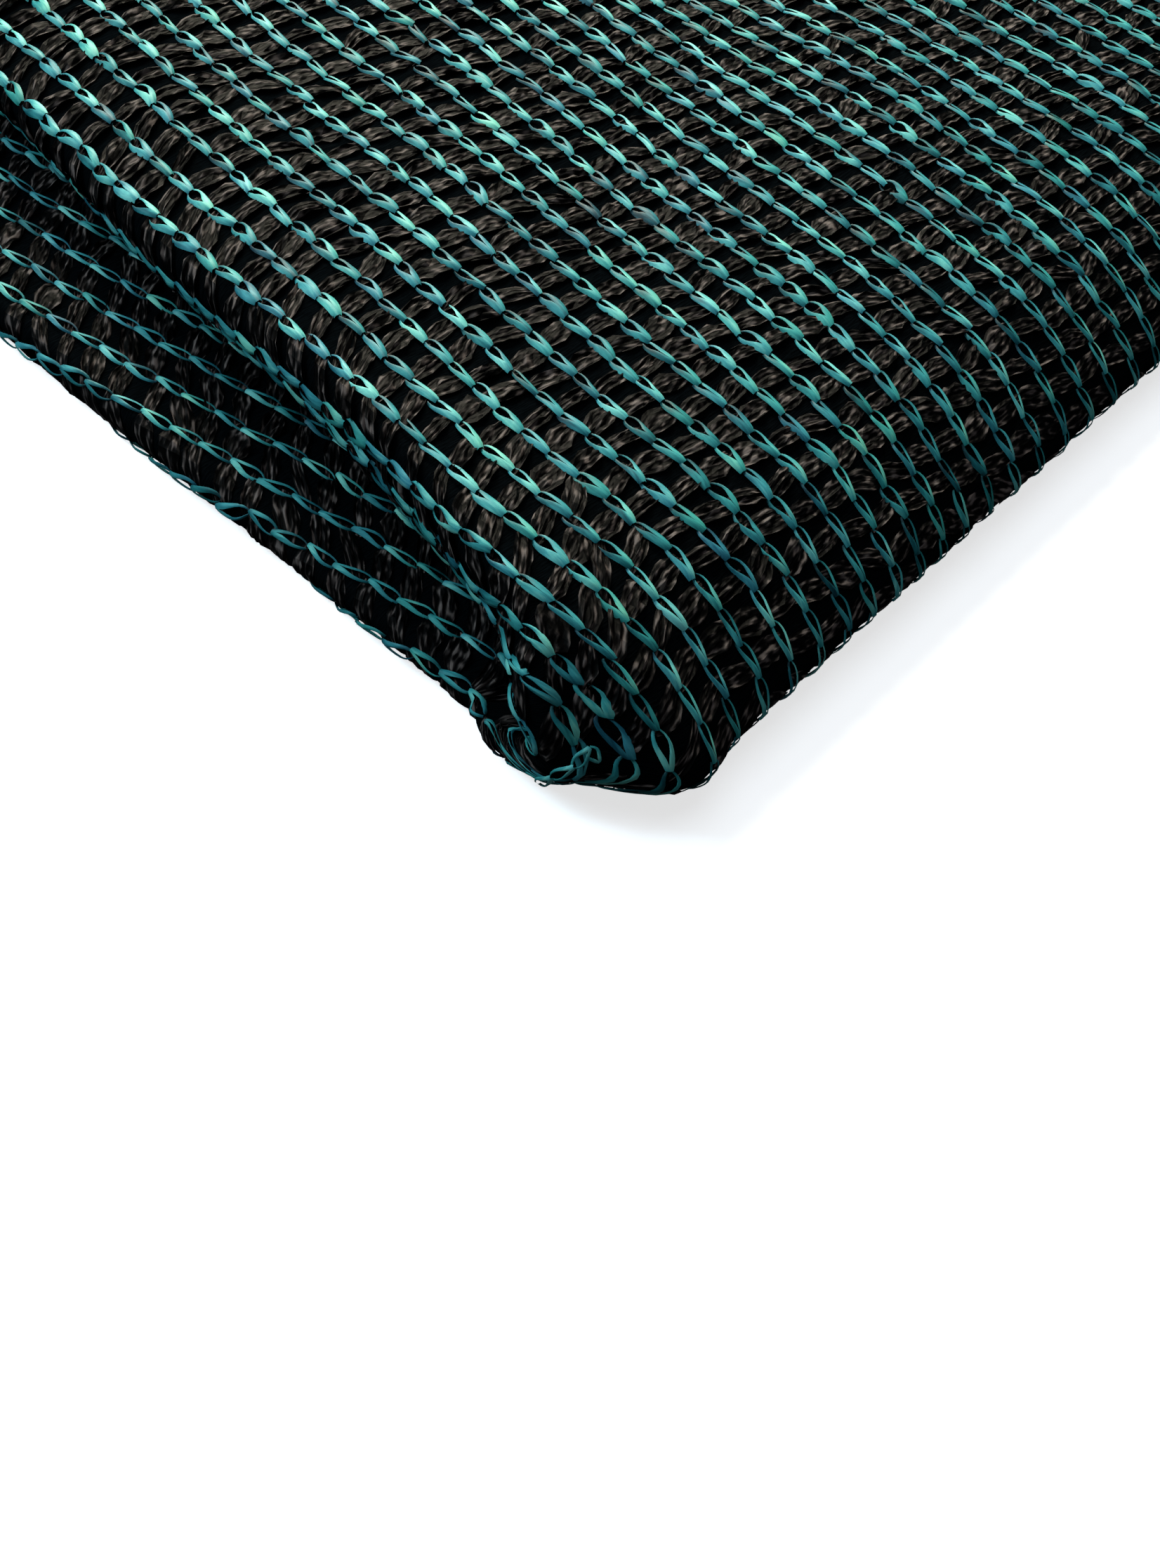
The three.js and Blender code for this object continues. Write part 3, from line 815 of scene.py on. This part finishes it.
def crossing_tapes(name, places, finish, seed, pleats, sections, rise):
    """Crumpled tapes from each stitch to the next row's, gathered at the rows and pleated between."""
    chance = np.random.default_rng(seed)
    first, far_run = neighbours(places)
    total = len(first)
    by_chance = TAPE_CHANCE
    part = np.linspace(-TAPE_OVERLAP, 1 + TAPE_OVERLAP, sections)
    bow = np.sin(math.pi * np.clip(part, 0, 1))
    lane = np.linspace(-0.5, 0.5, pleats)
    chance_wide = chance.uniform(*TAPE_WIDTH["chance"], total)[:, None]
    width = TAPE_WIDTH["rows"] + TAPE_WIDTH["middle"] * bow[None, :] * chance_wide
    spread = lane[None, None, :] + chance.normal(0, by_chance["lane"], (total, 1, pleats))
    spread = spread + chance.normal(0, by_chance["point"], (total, sections, pleats))
    side = np.where(np.arange(pleats) % 2 == 0, 1.0, -1.0)
    fold = side * chance.uniform(0.0, TAPE_FOLD["most"], (total, pleats))
    fold = fold[:, None, :] * (TAPE_FOLD["rows"] + TAPE_FOLD["middle"] * bow[None, :, None])
    arch = chance.uniform(*TAPE_ARCH, total)[:, None, None] * bow[None, :, None] * rise
    near_run = places["run"][first]
    at_crease = np.exp(-((places["reach"][first] / TAPE_CALM["crease"]) ** 2))
    at_crease = at_crease * (near_run < TAPE_CALM["below"])
    at_nose = np.exp(-((near_run / TAPE_CALM["nose"]) ** 2))
    calm = 1 - TAPE_CALM["by"] * np.maximum(at_crease, at_nose)
    crumple = chance.normal(0, by_chance["height"], (total, sections, pleats))
    height = TAPE_HEIGHT + (arch + fold + crumple) * calm[:, None, None]
    centre = near_run[:, None] * (1 - part) + far_run[:, None] * part
    centre = centre - (TAPE_BEFORE + chance.normal(0, by_chance["along"], total))[:, None]
    lean = TAPE_LEAN["most"] * smooth(places["row"][first], TAPE_LEAN["rows"])
    skew = (lean + chance.normal(0, by_chance["skew"], total))[:, None] * (part[None, :] - 0.5)
    rate = places["rate"][first][:, None, None]
    run = (centre + skew)[:, :, None] + spread * width[:, :, None] * rate
    row = (places["row"][first][:, None] + part[None, :])[:, :, None] + np.zeros_like(run)
    reach = reach_of_row(row.ravel(), run.ravel())
    points = off_sheet(reach, run.ravel(), height.ravel())
    # Painted glints: a random tone for each pleat and point of each tape.
    tone = chance.normal(TAPE_GLINT_TONE["mean"], TAPE_GLINT_TONE["lane"], (total, 1, pleats))
    tone = np.clip(tone + chance.normal(0, TAPE_GLINT_TONE["point"], run.shape), 0, 1)
    uv_across = spread * 3 + chance.uniform(0, 60, total)[:, None, None]
    uv_along = part[None, :, None] * ROW_PITCH + chance.uniform(0, 90, total)[:, None, None] + 0 * run
    uv = np.column_stack([uv_across.ravel(), uv_along.ravel()])
    faces = repeated(grid_faces(sections, pleats), sections * pleats, total)
    piece = mesh_object(name, points, faces, finish, uv, tone, smooth_faces=False)
    return piece


# How finely each group of tapes is made: pleats across, sections along, and how high it stands.
TAPES_UPPER = {"pleats": 6, "sections": 7, "rise": 0.36}
TAPES_LOWER = {"pleats": 6, "sections": 7, "rise": 0.3}
TAPES_HIDDEN = {"pleats": 4, "sections": 3, "rise": 0.25}


def shown(places, limits):
    """Masks of the stitches that show on the upper strip and on the shaded face of the lower one."""
    reach, run = places["reach"], places["run"]
    upper_reach, upper_run = limits["upper"]
    inner, outer = limits["wedge"]
    upper = (reach > upper_reach) & (run > upper_run)
    return upper, (reach <= outer) & (reach > inner) & (run <= limits["wedge_run"])


def knit():
    """The chains and tapes: finer where they show in the photograph, plainer elsewhere."""
    teal = turquoise_tape()
    black = black_tape()
    places = stitch_places()
    upper, wedge = shown(places, SHOWN_STITCHES)
    upper_tapes, wedge_tapes = shown(places, SHOWN_TAPES)
    hidden = chosen(places, ~(upper | wedge))
    shapes = (STITCH_TIGHT, STITCH_OPEN, STITCH_THIN)
    pieces = [
        chain_stitches("chains_upper", chosen(places, upper), teal, shapes, 11),
        chain_stitches("chains_lower", chosen(places, wedge), teal, shapes, 12),
        loose_chain("chain_corner", CORNER_CHAIN, teal, 14),
        chain_stitches("chains_hidden", hidden, teal, (STITCH_PLAIN,), 13, strand_points=2),
        crossing_tapes("tapes_upper", chosen(places, upper_tapes), black, 21, **TAPES_UPPER),
        crossing_tapes("tapes_lower", chosen(places, wedge_tapes), black, 22, **TAPES_LOWER),
        crossing_tapes("tapes_hidden", hidden, black, 23, **TAPES_HIDDEN),
    ]
    flat_width = WIDTH["outer"] + WIDTH["inner"] + 2 * ROLL_HALF.mean()
    flat_width * METRE


# The camera: its place in millimetres, how far up it looks down from, its turn and its lean in
# degrees, and its focal length as a share of the frame's height.
CAMERA = {
    "place": (-71.1, -50.0, 111.2),
    "height": 50.0,
    "turn": 51.2,
    "lean": 13.02,
    "focal_per_frame": 2604 / 2233,
}
SENSOR = 36.0
# Soft boxes: place and size in metres, watts and colour.
SOFT_BOXES = {
    "soft_box_key": ((0.22, 0.42, 0.36), 0.3, 10.0, (1.0, 0.95, 0.76)),
    "soft_box_left": ((-0.40, 0.40, 0.40), 0.3, 4.0, (0.70, 0.92, 1.0)),
    "soft_box_over": ((-0.1, 0.0, 0.7), 0.5, 1.2, (0.86, 0.94, 1.0)),
}
FLOOR_HALF = 2


def view_of_pack():
    """The camera where the photograph was taken from, in the pack's own millimetres."""
    height, turn, lean_over = (math.radians(CAMERA[a]) for a in ("height", "turn", "lean"))
    forward = Vector((
        math.cos(height) * math.sin(turn),
        math.cos(height) * math.cos(turn),
        -math.sin(height),
    ))
    level = Vector((math.cos(turn), -math.sin(turn), 0))
    upright = level.cross(forward)
    right = math.cos(lean_over) * level + math.sin(lean_over) * upright
    up = -math.sin(lean_over) * level + math.cos(lean_over) * upright
    camera = bpy.data.objects.new("camera", bpy.data.cameras.new("camera"))
    camera.data.sensor_width = SENSOR
    camera.data.lens = SENSOR * CAMERA["focal_per_frame"]
    camera.data.clip_start = 0.005
    place = (np.array(CAMERA["place"]) - FOOTPRINT_MIDDLE) * METRE
    turned = Matrix((right, up, -forward)).transposed().to_4x4()
    camera.matrix_world = Matrix.Translation(Vector(place)) @ turned
    bpy.context.scene.collection.objects.link(camera)
    bpy.context.scene.camera = camera


def soft_light(name, place, size, power, colour):
    """A square soft box that faces the middle of the pack."""
    light = bpy.data.lights.new(name, "AREA")
    light.size = size
    light.energy = power
    light.color = colour
    lamp = bpy.data.objects.new(name, light)
    lamp.location = place
    lamp.rotation_euler = (Vector((0, 0, 0)) - Vector(place)).to_track_quat("-Z", "Y").to_euler()
    bpy.context.scene.collection.objects.link(lamp)


def studio():
    """Dim surroundings, three soft boxes and a plain pale floor."""
    world = bpy.data.worlds.new("studio")
    world.use_nodes = True
    back = world.node_tree.nodes["Background"]
    back.inputs["Color"].default_value = (0.93, 0.96, 1.0, 1)
    back.inputs["Strength"].default_value = 0.08
    bpy.context.scene.world = world
    for name, box in SOFT_BOXES.items():
        soft_light(name, *box)
    bpy.context.scene.view_settings.view_transform = "Standard"
    finish = Finish("pale_floor", (0.86, 0.9, 0.96), 0.8, 0.2)
    finish.set("Emission Color", (1.0, 1.0, 1.0, 1))
    finish.set("Emission Strength", 0.7)
    mesh = bpy.data.meshes.new("floor")
    corners = [(-1, -1), (1, -1), (1, 1), (-1, 1)]
    mesh.from_pydata([(x * FLOOR_HALF, y * FLOOR_HALF, 0) for x, y in corners], [], [(0, 1, 2, 3)])
    mesh.materials.append(finish.material)
    floor = bpy.data.objects.new("floor", mesh)
    floor.visible_diffuse = False
    floor.visible_glossy = False
    bpy.context.scene.collection.objects.link(floor)


view_of_pack()
studio()
# The ground sheet is black like the tapes and near-black as painted shade for the holes of the knit.
netting = ground_sheet(black_ground_and_hole_shade())
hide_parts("netting")
knit()
